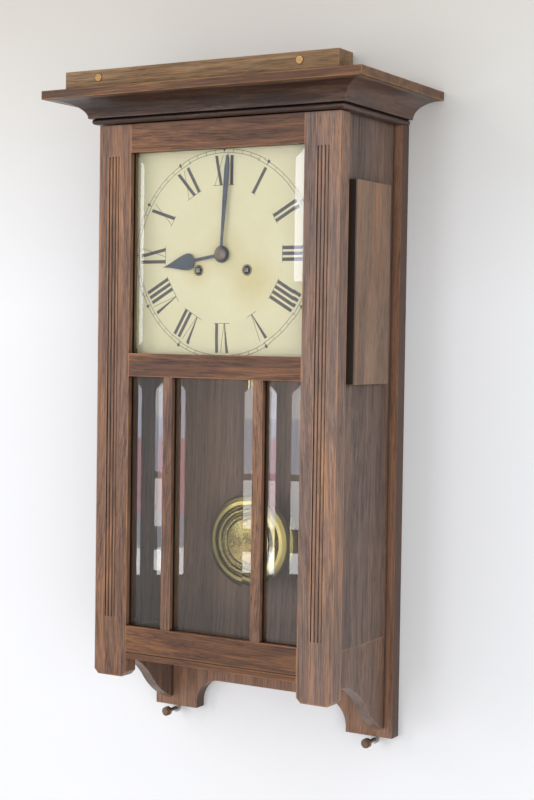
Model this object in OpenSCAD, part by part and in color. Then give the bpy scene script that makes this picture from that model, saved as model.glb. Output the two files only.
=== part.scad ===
// Pendulum wall clock: oak case with a glazed door, a two-train movement, a gong and a pendulum.
// Millimetres. +Z is up, the wall is the plane y = 0, and -Y faces the viewer.
// The origin is the mouth of the hanging hole. The clock's own centre, the dial centre,
// lies hang_z below it; every module draws round the dial centre and at_dial() moves it there.

/* [Case] */
// Width over the two side boards
case_w = 277; // [264:1:340]
// Thickness of the side boards
side_t = 12; // [8:1:16]
// Thickness of the back board
back_t = 15; // [10:1:20]
// Height of the hanging hole above the door's head
hang_rise = 63; // [56:1:100]
// Depth from the wall to the front edge of the side boards
case_d = 120.4; // [116:0.1:160]
// How far the back board stands out past each side board
back_overhang = 9.5; // [2:0.5:20]
// How far the back board's ears reach below the door
ear_drop = 56; // [48:1:80]
// Half width of the hanging tongue at the top of the back board
tongue_hw = 80; // [50:1:100]
// How far the tongue reaches above the hanging hole
tongue_rise = 16; // [14:1:40]

/* [Cornice] */
// How far the cornice board stands out past the door's face and sides
cornice_out = 43.5; // [30:0.5:60]
// Thickness of the cornice board
cornice_t = 8.8; // [6:0.2:14]
// Height of the cove moulding
cove_h = 23.5; // [18:0.5:34]
// Width of the crest batten
batten_w = 319; // [260:1:340]
// Height of the crest batten
batten_h = 18; // [12:1:30]
// Depth of the crest batten
batten_d = 28; // [18:1:40]
// Radius of the dowels in the crest batten
dowel_r = 3.7; // [2:0.1:5]

/* [Door] */
// How far the door stands out past each side board
door_over = 4.5; // [3.5:0.5:8]
// Thickness of the door
door_t = 18; // [16:0.5:24]
// Width of a stile
stile_w = 40; // [30:1:50]
// How far the stiles reach below the bottom rail
stile_drop = 20; // [6:1:40]
// Half height of the opening over the dial
dial_open = 105.5; // [95:0.5:130]
// Height of the top rail
top_rail_h = 29.5; // [16:0.5:50]
// Height of the middle rail
mid_rail_h = 20.5; // [14:0.5:34]
// Height of the bottom rail
low_rail_h = 34.5; // [24:0.5:50]
// Room between the bob and the lower edge of the door's lower opening
bob_room = 38.85; // [25:0.05:80]
// Width of a muntin
muntin_w = 11; // [8:0.5:16]
// Distance of a muntin's middle from the centre line
muntin_x = 54; // [40:0.5:70]
// Thickness of the glass
glass_t = 4; // [3:0.5:5]
// Width of the bevel on the glass
bevel_w = 16.5; // [6:0.5:18]

/* [Dial and hands] */
// How far the dial plate reaches behind the door's frame
dial_lap = 8; // [4:0.5:12]
// Length of the minute hand
minute_len = 101; // [70:1:103]
// Length of the hour hand
hour_len = 73; // [50:1:90]
// Turn of the minute hand clockwise from twelve
minute_deg = 4; // [0:1:359]
// Turn of the hour hand clockwise from twelve
hour_deg = 260; // [0:1:359]

/* [Movement] */
// Distance between the two movement plates
plate_gap = 36; // [34:0.5:44]
// Thickness of a movement plate
plate_t = 2; // [1.5:0.1:3]
// Half the distance between the two winding squares
barrel_x = 29; // [28.8:0.1:34]
// Radius of an arbor
arbor_r = 1.1; // [0.9:0.05:1.35]
// Radius of a pivot
pivot_r = 0.8; // [0.5:0.05:0.9]
// Half swing of the pendulum in degrees
swing_deg = 3; // [1:0.5:3.5]

/* [Pendulum] */
// Distance from the suspension point down to the middle of the bob
pendulum_len = 358; // [300:1:360]
// Radius of the bob
bob_r = 50; // [40:1:56]
// Thickness of the bob
bob_t = 12; // [8:1:16]
// Number of rods in the grid
rod_count = 5; // [3:2:7]
// Radius of a grid rod
rod_r = 1.25; // [0.8:0.05:1.6]
// Distance between two rods of the grid
rod_step = 3.4; // [3.4:0.1:5]

/* [Fits] */
// Radial play of a pivot, pin or screw in its hole
run_fit = 0.05; // [0.02:0.01:0.1]
// Gap between pieces that move past each other
move_gap = 0.6; // [0.3:0.1:1]

/* [Hidden] */
$fn = 64;

// tooth counts and modules of the trains
great_n = 84;
second_n = 72;
centre_n = 80;
third_n = 80;
escape_n = 30;
pin_n = 64;
lock_n = 60;
leaf_12 = 12;
leaf_8 = 8;
great_m = 0.66;
second_m = 0.65;
centre_m = 0.6;
third_m = 0.5;
strike_m = 0.5;
lock_m = 0.45;
cannon_n = 12;
minute_n = 36;
minute_leaf = 10;
hour_n = 40;
motion_m1 = 0.625;
motion_m2 = 0.6;

// where the arbors stand, seen from the front
function gap_of(n1, n2, m) = (n1 + n2) * m / 2;
// the point at distance ra from a and rb from b, on the chosen side of the line from a to b
function meet(a, ra, b, rb, side) =
    let (d = norm(b - a), u = (b - a) / d, s = (ra * ra - rb * rb + d * d) / (2 * d),
        h = sqrt(ra * ra - s * s))
    a + u * s + side * h * [-u[1], u[0]];
// the point at distance r from a, straight above x
function above(a, r, x) = [x, a[1] + sqrt(r * r - pow(x - a[0], 2))];
function bearing(a, b) = atan2(b[1] - a[1], b[0] - a[0]);

centre = [0, 0];
time_at = [barrel_x, -16];
strike_at = [-barrel_x, -16];
second_at = meet(time_at, gap_of(great_n, leaf_12, great_m), centre,
    gap_of(second_n, leaf_12, second_m), -1);
third_at = above(centre, gap_of(centre_n, leaf_8, centre_m), -14);
escape_at = above(third_at, gap_of(third_n, leaf_8, third_m), 0);
escape_r = 14;
drum_r = great_n * great_m / 2 - 3.7;
anchor_at = [0, escape_at[1] + 20];
strike_second_at = above(strike_at, gap_of(great_n, leaf_12, great_m), strike_at[0] - 9);
pin_at = above(strike_second_at, gap_of(second_n, leaf_8, strike_m), strike_second_at[0] + 4);
lock_at = above(pin_at, gap_of(pin_n, leaf_8, strike_m), pin_at[0] + 14);
fly_at = above(lock_at, gap_of(lock_n, leaf_8, lock_m), lock_at[0] - 10);
hammer_at = pin_at + [-17, 11.5];
lift_r = 12.8;
// stud of the minute wheel
motion_at = gap_of(cannon_n, minute_n, motion_m1) * [-cos(45), sin(45)];

// pendulum heights
pivot_z = anchor_at[1];
bob_z = pivot_z - pendulum_len;

// heights of the door and the case, from the dial centre
head_z = dial_open + top_rail_h;        // top of the door and of the case front
low_open_z = bob_r - bob_z + bob_room;  // how far the lower opening reaches down
stile_z = low_open_z + low_rail_h + stile_drop;
ear_z = stile_z + ear_drop;
seam_z = low_open_z + 4;                // joint between side board and bracket
hang_z = head_z + hang_rise;
tongue_z = hang_z + tongue_rise;

// case
side_x = case_w / 2;                    // outer face of a side board
inner_x = side_x - side_t;
back_hw = side_x + back_overhang;       // half width of the back board
back_y = -back_t;                       // front face of the back board
front_y = -case_d;                      // front edge of the side boards
apron_r = 28;                           // corner radius of the cut between the ears
apron_hw = back_hw - 54;                // half width of that cut
apron_z = ear_z - 34;                   // top of that cut, below the dial centre
floor_t = 12;
floor_z = seam_z + 33;                  // underside of the floor, below the dial centre
frieze_h = 30;
frieze_t = 12;
block_out = 9.5;                        // how far a side block stands out
block_y = front_y + 6.9;                // front face of a side block
block_d = 75;
block_top = 71.5;
block_h = 200;

// door
door_y = front_y - move_gap;            // rear face of the door
face_y = door_y - door_t;               // front face of the door
door_x = side_x + door_over;
open_x = door_x - stile_w;              // half width of the door's openings
lip_t = 6;                              // depth of the lip in front of the glass
rebate = 4;                             // how far a rebate reaches past its opening
glass_lap = 3.5;                        // how far the glass reaches past its opening
glass_y = face_y + lip_t + glass_t;     // rear face of the glass
bead_y = glass_y + 6;                   // rear face of the glazing beads
mid_top = -dial_open + 3.5;             // top of the middle rail
mid_bottom = mid_top - mid_rail_h - 3.5;
flute_w = 13;
flute_x = door_x - stile_w / 2 + 1;     // middle of the sunk strip on a stile
flute_depth = 1.5;
flute_top = dial_open - 3;
flute_bottom = -low_open_z + 7.5;
stile_chamfer = 5;

// hinges and catch
pin_r = 1.2;
knuckle_r = 2.5;
leaf_t = 0.9;
hinge_h = 50;
hinge_x = -(side_x + knuckle_r + 0.5);
hinge_y = front_y - move_gap / 2;
hinge_z = [head_z - 65, -seam_z + 10];  // lower end of each hinge
leaf_w = 13.5;
catch_x = open_x + 12;
catch_z = mid_bottom - 64;
stud_r = 1.6;
ball_r = 3.2;

// cornice
cove_z = head_z + 1;
cornice_z = cove_z + cove_h;            // underside of the cornice board
top_z = cornice_z + cornice_t;
cornice_hw = door_x + cornice_out;
cornice_y = face_y - cornice_out;
batten_y = cornice_y + 6;
dowel_x = batten_w / 2 - 42;
dowel_z = top_z + batten_h / 2 + 1;
bead_r = 3;                             // half-round bead under the cove
cove_in = 9;                            // where the cove springs, out from the door's face
cove_out = cornice_out - 3;

// hanging
hanger_r = 5;
plate_w = 34;
hanger_top = 13;
hanger_low = 32;
stab_x = side_x - 13.5;
stab_r = 2;
stab_z = -ear_z - 5;
eye_r = 4.4;
knob_r = 5;

// dial and motion work
dial_y = front_y + 0.4;                 // front face of the dial
dial_t = 1.2;
hour_y = dial_y - 2.2;                  // middle of the hour hand
minute_y = hour_y - 1.8;                // middle of the minute hand
hand_t = 0.8;
centre_r = 1.5;                         // centre arbor
minute_pipe_r = 2.1;                    // pipes that carry the hands
hour_pipe_r = 4.1;
cannon_r = 2.6;
plate_y = dial_y + 16;                  // front face of the front plate
in_y = plate_y + plate_t;               // inner face of the front plate
rear_y = in_y + plate_gap;              // inner face of the back plate
back_face_y = rear_y + plate_t;
plate_hw = 64;
plate_low = -53;
plate_top = 73;
end_shake = 0.3;
arbor_y = [in_y + end_shake, rear_y - end_shake];

// depths of the wheels, counted from the front plate's inner face
great_p = [2, 4.5];
drum_p = [4.5, 25];
second_p = [26.5, 28];
centre_p = [29.5, 31];
third_p = [33.5, 35];
lift_p = [31, 33];                      // lifting pins behind the pin wheel
escape_p = [10, 11.5];
lock_p = [14, 15.5];

// pendulum
gong_at = [0, -32];
rod_y = back_face_y + 10;               // middle plane of the pendulum
crutch_y = rod_y - 7;
hook_z = gong_at[1] - 14;               // lower end of the leader
grid_top = hook_z - 6;
gong_r = 56;
gong_y = [-36, -33];
hammer_y = gong_y[0] - 8;

// angle brackets that carry the movement
bracket_x = 60;
bracket_h = 12;
bracket_w = 12;
bracket_t = 2;
bracket_z = [plate_low + 1, plate_top - 19];
bracket_screw_x = bracket_x + bracket_t + bracket_w / 2;

// ---------------------------------------------------------------- helpers
module at_dial() translate([0, 0, -hang_z]) children();
// draws towards the viewer, from depth y, with the drawing plane facing the front
module facing(x, y, z) translate([x, y, z]) rotate([90, 0, 0]) children();
// a flat shape between the depths y0 (front) and y1 (rear)
module slab(y0, y1) facing(0, y1, 0) linear_extrude(y1 - y0) children();
module rod(at, y0, y1, r) facing(at[0], y1, at[1]) cylinder(r = r, h = y1 - y0);
module box(low, high) translate(low) cube(high - low);
module both_sides() {
    children();
    mirror([1, 0, 0]) children();
}

function arc(c, r, a0, a1, n) =
    [for (i = [0:n]) let (a = a0 + (a1 - a0) * i / n) c + r * [cos(a), sin(a)]];

// a toothed outline: n teeth of module m, with one tooth on the +X axis
function tooth_points(n, m) = let (pitch = 360 / n, r = n * m / 2) [for (i = [0:n - 1])
    for (k = [[-1.15, -0.26], [0, -0.17], [0.75, -0.09], [0.75, 0.09], [0, 0.17], [-1.15, 0.26]])
    let (a = (i + k[1]) * pitch) [(r + k[0] * m) * cos(a), (r + k[0] * m) * sin(a)]];
module toothed(n, m) polygon(tooth_points(n, m));
// a wheel with crossings: rim, hub and arms
module crossed(n, m, arms, hub_r) difference() {
    toothed(n, m);
    let (r_out = n * m / 2 - 3.2, r_in = hub_r + 1.2, arm = 3)
        for (i = [0:arms - 1]) rotate(360 / arms * i) polygon(concat(
            [for (a = [0:6]) let (t = 360 / arms * a / 6, s = asin(arm / 2 / r_out))
                let (b = s + (360 / arms - 2 * s) * a / 6) r_out * [cos(b), sin(b)]],
            [for (a = [6:-1:0]) let (s = asin(arm / 2 / r_in))
                let (b = s + (360 / arms - 2 * s) * a / 6) r_in * [cos(b), sin(b)]]));
}
// a wheel layer between the depths p[0] and p[1], turned so that a tooth points along deg
module layer(at, p, deg) facing(at[0], in_y + p[1], at[1]) rotate(deg)
    linear_extrude(p[1] - p[0]) children();
// an arbor between the plates with a pivot in each
module arbor(at) {
    rod(at, arbor_y[0], arbor_y[1], arbor_r);
    rod(at, in_y - plate_t + 0.2, arbor_y[0], pivot_r);
    rod(at, arbor_y[1], back_face_y - 0.2, pivot_r);
}
// the turn that puts a gap of an n-toothed wheel on the line from its arbor to the other
function gap_to(at, other, n) = bearing(at, other) + 180 / n;

// ---------------------------------------------------------------- case
module back_outline() {
    difference() {
        union() {
            translate([-back_hw, -ear_z]) square([2 * back_hw, ear_z + cove_z]);
            translate([-side_x, 0]) square([case_w, cornice_z]);
            translate([-tongue_hw, 0]) square([2 * tongue_hw, tongue_z]);
        }
        translate([-apron_hw, -ear_z - 1]) square([2 * apron_hw, ear_z - apron_z - apron_r + 1]);
        translate([-apron_hw + apron_r, -ear_z]) square([2 * (apron_hw - apron_r), ear_z - apron_z]);
        for (s = [-1, 1]) translate([s * (apron_hw - apron_r), -apron_z - apron_r]) circle(apron_r);
    }
}

module back_board() at_dial() color("#5a3520") difference() {
    slab(back_y, 0) back_outline();
    box([-plate_w / 2 - 0.1, -plate_t - 0.05, hang_z - hanger_low - 0.1],
        [plate_w / 2 + 0.1, 1, hang_z + hanger_top + 0.1]);
    rod([0, hang_z], -plate_t - 9, 0, 9);
    for (s = [-1, 1]) {
        rod([s * 11, hang_z - 24], -11, 0, 1.6);
        translate([s * stab_x, back_y / 2, -ear_z - 1]) cylinder(r = 1.5, h = 15);
        for (z = bracket_z) rod([s * bracket_screw_x, z + bracket_h / 2], back_y - 1, back_y + 9, 1.5);
    }
    rod(gong_at, back_y - 1, back_y + 9, 2.5);
}

module side_boards() at_dial() color("#4a2b1b") difference() {
    both_sides() box([inner_x, front_y, -seam_z], [side_x, back_y, cornice_z]);
    for (z = hinge_z) box([-side_x - 1, front_y - 1, z - 0.2],
        [hinge_x + leaf_w + 0.1, hinge_y + leaf_t + 0.15, z + hinge_h + 0.2]);
}

// the lower edge of a bracket: a cove, then a belly, in depth and height
bracket_turn = 51;
cove_sweep_r = (case_d - 57) / sin(bracket_turn);
belly_r = (57 - back_t) / (sin(bracket_turn) - sin(22));
function bracket_edge() = concat(
    [for (a = [0:3:bracket_turn]) [front_y + cove_sweep_r * sin(a),
        -seam_z - 36.5 - cove_sweep_r * (1 - cos(a))]],
    [for (a = [bracket_turn - 3:-3:22]) [back_y - belly_r * (sin(a) - sin(22)),
        -seam_z - 36.5 - cove_sweep_r * (1 - cos(bracket_turn)) - belly_r * (cos(a) - cos(bracket_turn))]]);

module side_brackets() at_dial() color("#4a2b1b") both_sides() translate([inner_x, 0, 0])
    rotate([90, 0, 90]) linear_extrude(side_t)
    polygon(concat(bracket_edge(), [[back_y, bracket_edge()[len(bracket_edge()) - 1][1]],
        [back_y, -seam_z], [front_y, -seam_z]]));

module case_floor() at_dial() color("#5a3520")
    box([-inner_x, front_y, -floor_z], [inner_x, back_y, -floor_z + floor_t]);

module frieze_rail() at_dial() color("#4a2b1b")
    box([-inner_x, front_y, cornice_z - frieze_h], [inner_x, front_y + frieze_t, cornice_z]);

module cornice_board() at_dial() color("#5a3a28") difference() {
    box([-cornice_hw, cornice_y, cornice_z], [cornice_hw, 0, top_z]);
    box([-tongue_hw - 0.1, back_y - 0.1, cornice_z - 1], [tongue_hw + 0.1, 1, top_z + 1]);
}

// the moulding's outline: distance out from the door's face, and height
module cove_outline(inner) {
    rise = cove_h - 2 * bead_r;
    polygon(concat(
        [[-inner, cornice_z], [-inner, cove_z], [bead_r, cove_z]],
        [for (a = [-80:10:90]) [bead_r + bead_r * cos(a), cove_z + bead_r + bead_r * sin(a)]],
        [[cove_in, cove_z + 2 * bead_r]],
        [for (a = [6:6:84]) [cove_out - (cove_out - cove_in) * cos(a),
            cove_z + 2 * bead_r + rise * sin(a)]],
        [[cove_out, cornice_z]]));
}

module cove_front() at_dial() color("#3f241a") intersection() {
    translate([-cornice_hw, face_y, 0]) rotate([90, 0, 90]) mirror([1, 0, 0])
        linear_extrude(2 * cornice_hw) cove_outline(door_t + move_gap);
    translate([0, 0, cove_z - 1]) linear_extrude(cove_h + 2)
        polygon([for (k = [[-1, -cornice_out], [1, -cornice_out], [1, door_t + move_gap],
            [-1, door_t + move_gap]]) [k[0] * (door_x - k[1]), face_y + k[1]]]);
}

module cove_sides() at_dial() color("#3f241a") both_sides() intersection() {
    translate([door_x, 0, 0]) rotate([90, 0, 0])
        linear_extrude(-cornice_y) cove_outline(door_x - side_x);
    translate([0, 0, cove_z - 1]) linear_extrude(cove_h + 2)
        polygon([[door_x + cornice_out, cornice_y], [door_x + cornice_out, 0],
            [side_x, 0], [side_x, face_y + door_x - side_x]]);
}

module crest_batten() at_dial() color("#6b5846") difference() {
    box([-batten_w / 2, batten_y, top_z], [batten_w / 2, batten_y + batten_d, top_z + batten_h]);
    for (s = [-1, 1]) rod([s * dowel_x, dowel_z], batten_y - 1, batten_y + batten_d + 1, dowel_r);
}

module crest_dowels() at_dial() color("#c9a06c") for (s = [-1, 1])
    rod([s * dowel_x, dowel_z], batten_y - 0.8, batten_y + batten_d, dowel_r);

module side_blocks() at_dial() color("#7a5136") both_sides()
    translate([0, 0, block_top - block_h]) linear_extrude(block_h)
    polygon([[side_x, block_y], [side_x + block_out - 1, block_y], [side_x + block_out, block_y + 1],
        [side_x + block_out, block_y + block_d - 1], [side_x + block_out - 1, block_y + block_d],
        [side_x, block_y + block_d]]);

module hanger_plate() color("#b08d57") difference() {
    slab(-plate_t, 0) translate([-plate_w / 2, -hanger_low])
        square([plate_w, hanger_low + hanger_top]);
    rod([0, 0], -plate_t - 1, 1, hanger_r);
    box([-2.5, -plate_t - 1, 0], [2.5, 1, hanger_r + 5]);
    for (s = [-1, 1]) {
        rod([s * 11, -24], -plate_t - 1, 1, 1.65);
        facing(s * 11, 0.01, -24) cylinder(r1 = 3.1, r2 = 1.65, h = 1.5);
    }
}

module wood_screw(r, len, head_r) {
    cylinder(r = r, h = len);
    cylinder(r1 = head_r, r2 = r, h = 1.4);
}

module case_screws() at_dial() color("#8f8f8a") {
    for (s = [-1, 1]) {
        facing(s * 11, 0, hang_z - 24) wood_screw(1.55, 10.5, 3);
        for (z = bracket_z) let (at = [s * bracket_screw_x, z + bracket_h / 2]) {
            rod(at, back_y - bracket_t - 1.6, back_y - bracket_t, 3);
            rod(at, back_y - bracket_t, back_y + 8.8, 1.45);
        }
        // screw eye that holds a stabiliser screw
        difference() {
            union() {
                rod([s * stab_x, stab_z], back_y / 2 - 2, back_y / 2 + 2, eye_r);
                translate([s * stab_x, back_y / 2, stab_z + 1]) cylinder(r = 1.45, h = 16);
            }
            rod([s * stab_x, stab_z], back_y, 1, stab_r + run_fit);
        }
    }
}

module stabiliser_screw(s) at_dial() {
    rod([s * stab_x, stab_z], -25, -3, stab_r);
    facing(s * stab_x, -0.5, stab_z) cylinder(r1 = 0.3, r2 = stab_r, h = 2.5);
    rod([s * stab_x, stab_z], -30, -25, knob_r);
    rod([s * stab_x, stab_z], -31.2, -30, knob_r - 1.4);
}
module stabiliser_screw_left() color("#6a5540") stabiliser_screw(-1);
module stabiliser_screw_right() color("#6a5540") stabiliser_screw(1);

module movement_brackets() at_dial() color("#8d8f91") both_sides() for (z = bracket_z) difference() {
    union() {
        box([bracket_x, back_face_y, z], [bracket_x + bracket_t, back_y, z + bracket_h]);
        box([bracket_x, back_y - bracket_t, z],
            [bracket_x + bracket_t + bracket_w, back_y, z + bracket_h]);
        box([bracket_x - bracket_w, back_face_y, z],
            [bracket_x + bracket_t, back_face_y + bracket_t, z + bracket_h]);
    }
    rod([bracket_screw_x, z + bracket_h / 2], back_y - bracket_t - 1, back_y + 1, 1.5);
}

// ---------------------------------------------------------------- hinges and catch
module knuckle(z0, z1) translate([hinge_x, hinge_y, z0]) difference() {
    cylinder(r = knuckle_r, h = z1 - z0);
    translate([0, 0, -1]) cylinder(r = pin_r + run_fit, h = z1 - z0 + 2);
}
knuckle_h = hinge_h / 3;

module hinge_case_leaves() at_dial() color("#a8843f") for (z = hinge_z) {
    for (k = [0, 2]) let (z0 = z + k * knuckle_h, z1 = z0 + knuckle_h) {
        knuckle(z0, z1);
        difference() {
            box([hinge_x, hinge_y + 0.1, z0], [hinge_x + leaf_w, hinge_y + 0.1 + leaf_t, z1]);
            translate([hinge_x, hinge_y, z0 - 1]) cylinder(r = pin_r + run_fit, h = knuckle_h + 2);
        }
    }
    box([hinge_x + knuckle_r + 0.3, hinge_y + 0.1, z],
        [hinge_x + leaf_w, hinge_y + 0.1 + leaf_t, z + hinge_h]);
    translate([hinge_x, hinge_y, z - 1]) cylinder(r = pin_r, h = hinge_h + 2);
    for (end = [z - 1.5, z + hinge_h + 0.3]) translate([hinge_x, hinge_y, end])
        cylinder(r = pin_r + 0.8, h = 1.2);
}

module hinge_door_leaves() at_dial() color("#a8843f") for (z = hinge_z) {
    let (z0 = z + knuckle_h + 0.15, z1 = z + 2 * knuckle_h - 0.15) {
        knuckle(z0, z1);
        difference() {
            box([hinge_x, hinge_y - 0.1 - leaf_t, z0], [hinge_x + leaf_w, hinge_y - 0.1, z1]);
            translate([hinge_x, hinge_y, z0 - 1]) cylinder(r = pin_r + run_fit, h = knuckle_h + 2);
        }
    }
    box([hinge_x + knuckle_r + 0.3, hinge_y - 0.1 - leaf_t, z],
        [hinge_x + leaf_w, hinge_y - 0.1, z + hinge_h]);
}

// the room that the hinges need in the door
module hinge_room() for (z = hinge_z) {
    translate([hinge_x, hinge_y, z - 1.8]) cylinder(r = knuckle_r + 0.3, h = hinge_h + 3.6);
    box([hinge_x, hinge_y - 0.15 - leaf_t, z - 0.1],
        [hinge_x + leaf_w + 0.1, hinge_y + 2, z + hinge_h + 0.1]);
}

module catch_stud() at_dial() color("#b08d57") {
    facing(catch_x, door_y + 8, catch_z) cylinder(r = stud_r, h = 14);
    translate([catch_x, door_y + 9, catch_z]) sphere(ball_r);
}

module catch_clip() at_dial() color("#b08d57") {
    for (s = [-1, 1]) box([catch_x - 5, door_y + 3, catch_z + s * 4.1 - 0.5],
        [inner_x, door_y + 15, catch_z + s * 4.1 + 0.5]);
    box([inner_x - 1, door_y + 3, catch_z - 9], [inner_x, door_y + 15, catch_z + 9]);
}

// ---------------------------------------------------------------- door
// a strip of three reeds sunk into a stile's face
module flute_cut(x) difference() {
    box([x - flute_w / 2, face_y - 1, flute_bottom], [x + flute_w / 2, face_y + flute_depth, flute_top]);
    for (k = [-1, 0, 1]) translate([x + k * flute_w / 3.2, face_y + flute_depth + 0.3, flute_bottom - 1])
        cylinder(r = flute_w / 6.6, h = flute_top - flute_bottom + 2);
}

// everything cut from the door for the glass, seen from the rear
module glass_rebates() {
    box([-open_x - rebate, face_y + lip_t, mid_top - rebate],
        [open_x + rebate, door_y + 1, dial_open + rebate]);
    box([-open_x - rebate, face_y + lip_t, -low_open_z - rebate],
        [open_x + rebate, door_y + 1, mid_bottom + rebate]);
}

module stile(s) difference() {
    slab(face_y, door_y) polygon([for (k = [[open_x, head_z], [door_x, head_z],
        [door_x, -stile_z + stile_chamfer], [door_x - stile_chamfer, -stile_z],
        [open_x + stile_chamfer, -stile_z], [open_x, -stile_z + stile_chamfer]]) [s * k[0], k[1]]]);
    flute_cut(s * flute_x);
    glass_rebates();
}

module door_stile_left() at_dial() color("#7a4526") difference() {
    stile(-1);
    hinge_room();
}
module door_stile_right() at_dial() color("#7a4526") difference() {
    stile(1);
    rod([catch_x, catch_z], door_y - 6.1, door_y + 1, stud_r);
}
module rail(z0, z1) difference() {
    box([-open_x, face_y, z0], [open_x, door_y, z1]);
    glass_rebates();
}
module door_top_rail() at_dial() color("#7a4526") rail(dial_open, head_z);
module door_middle_rail() at_dial() color("#7a4526") rail(mid_bottom, mid_top);
module door_bottom_rail() at_dial() color("#7a4526") difference() {
    rail(-low_open_z - low_rail_h, -low_open_z);
    box([-open_x - 1, face_y - 1, -low_open_z - low_rail_h + 6],
        [open_x + 1, face_y + 0.8, -low_open_z - low_rail_h + 7.2]);
}

module muntins() at_dial() color("#7a4526") for (s = [-1, 1]) {
    box([s * muntin_x - muntin_w / 2, face_y + 0.5, -low_open_z],
        [s * muntin_x + muntin_w / 2, face_y + lip_t, mid_bottom]);
    box([s * muntin_x - 1.5, face_y + lip_t, -low_open_z], [s * muntin_x + 1.5, bead_y, mid_bottom]);
}

// a bevelled pane: the opening's low and high corners (x, z)
module pane(low, high) {
    lo = low - [glass_lap, glass_lap];
    hi = high + [glass_lap, glass_lap];
    edge_t = glass_t - 2.2;
    w = bevel_w;
    outer = [lo, [hi[0], lo[1]], hi, [lo[0], hi[1]]];
    inner = [lo + [w, w], [hi[0] - w, lo[1] + w], hi - [w, w], [lo[0] + w, hi[1] - w]];
    polyhedron(
        points = concat([for (p = outer) [p[0], glass_y, p[1]]],
            [for (p = outer) [p[0], glass_y - edge_t, p[1]]],
            [for (p = inner) [p[0], glass_y - glass_t, p[1]]]),
        faces = concat([[3, 2, 1, 0], [8, 9, 10, 11]],
            [for (i = [0:3]) [i, (i + 1) % 4, (i + 1) % 4 + 4, i + 4]],
            [for (i = [0:3]) [i + 4, (i + 1) % 4 + 4, (i + 1) % 4 + 8, i + 8]]));
}
module bead_ring(low, high, left, right) slab(glass_y, bead_y) difference() {
    translate(low - [left, rebate - 0.1]) square(high - low + [left + right, 2 * rebate - 0.2]);
    translate(low) square(high - low);
}
pane_in = muntin_x - muntin_w / 2;
pane_out = muntin_x + muntin_w / 2;

module dial_glass() at_dial() color("#cfe0e4", 0.4) pane([-open_x, mid_top], [open_x, dial_open]);
module centre_glass() at_dial() color("#cfe0e4", 0.4)
    pane([-pane_in, -low_open_z], [pane_in, mid_bottom]);
module side_glasses() at_dial() color("#cfe0e4", 0.4) for (s = [0, 1])
    pane([s ? pane_out : -open_x, -low_open_z], [s ? open_x : -pane_out, mid_bottom]);
module glazing_beads() at_dial() color("#5a3520") {
    bead_ring([-open_x, mid_top], [open_x, dial_open], rebate - 0.1, rebate - 0.1);
    bead_ring([-pane_in, -low_open_z], [pane_in, mid_bottom], rebate - 0.1, rebate - 0.1);
    bead_ring([-open_x, -low_open_z], [-pane_out, mid_bottom], rebate - 0.1, rebate - 0.1);
    bead_ring([pane_out, -low_open_z], [open_x, mid_bottom], rebate - 0.1, rebate - 0.1);
}

// ---------------------------------------------------------------- dial and hands
winding = [time_at, strike_at];
module dial_plate() at_dial() color("#e6dcb4") {
    difference() {
        slab(dial_y, dial_y + dial_t)
            square([2 * (open_x + dial_lap), 2 * (dial_open + dial_lap)], center = true);
        rod(centre, dial_y - 1, dial_y + 3, 6);
        for (at = winding) rod(at, dial_y - 1, dial_y + 3, 4.6);
    }
    for (at = winding) difference() {
        rod(at, dial_y - 0.5, dial_y, 5.8);
        rod(at, dial_y - 1, dial_y + 1, 4.6);
    }
    for (sx = [-1, 1], z = [-45, 62]) rod([sx * 46, z], dial_y + dial_t, plate_y, 2);
}

// an outline from its half widths w at the heights z, mirrored about the middle line
function both_edges(pts) = concat([for (p = pts) [-p[0], p[1]]],
    [for (i = [len(pts) - 1:-1:0]) if (pts[i][0] > 0) pts[i]]);
collet_r = 7;
stem_hw = 1.65;
pear_start = 33.5;
pear_hw = 8.5;
function pear(u) = pear_hw * pow(sin(180 * pow(u, 0.42)), 1.2);

// a flat hand: its outline pointing up, turned clockwise, with a round hub bored for its pipe
module hand(y, deg, hub, bore, outline) difference() {
    union() {
        slab(y - hand_t / 2, y + hand_t / 2) rotate(-deg) polygon(both_edges(outline));
        rod(centre, y - hand_t / 2, y + hand_t / 2, hub);
    }
    rod(centre, y - 1, y + 1, bore);
}
// a slim hand that widens steadily and closes in a leaf point
module minute_hand() at_dial() color("#3c4650")
    hand(minute_y, minute_deg, collet_r - 0.4, minute_pipe_r + run_fit, [[1.6, 0], [1.5, 20],
        [2.1, 0.4 * minute_len], [2.9, 0.8 * minute_len], [2.7, 0.88 * minute_len],
        [1.7, 0.95 * minute_len], [0, minute_len]]);
// a pear-shaped head on a slim stem, running out to a long point
module hour_hand() at_dial() color("#3c4650")
    hand(hour_y, hour_deg, 8.7, hour_pipe_r + run_fit, concat(
        [[stem_hw, 0], [stem_hw, pear_start + 0.2]],
        [for (u = [0.05, 0.1, 0.15, 0.2, 0.3, 0.4, 0.5, 0.6, 0.7, 0.8, 0.9])
            [pear(u), pear_start + u * (hour_len - pear_start)]],
        [[0, hour_len]]));
module hand_collet() at_dial() color("#6f5a3a") facing(0, minute_y - hand_t / 2, 0) difference() {
    rotate_extrude() polygon(concat([[0, 0], [collet_r, 0], [collet_r, 0.9]],
        [for (a = [15:15:75]) [collet_r * cos(a), 0.9 + 1.9 * sin(a)]], [[0, 2.8]]));
    translate([0, 0, -1]) cylinder(r = centre_r, h = 3);
}

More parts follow.
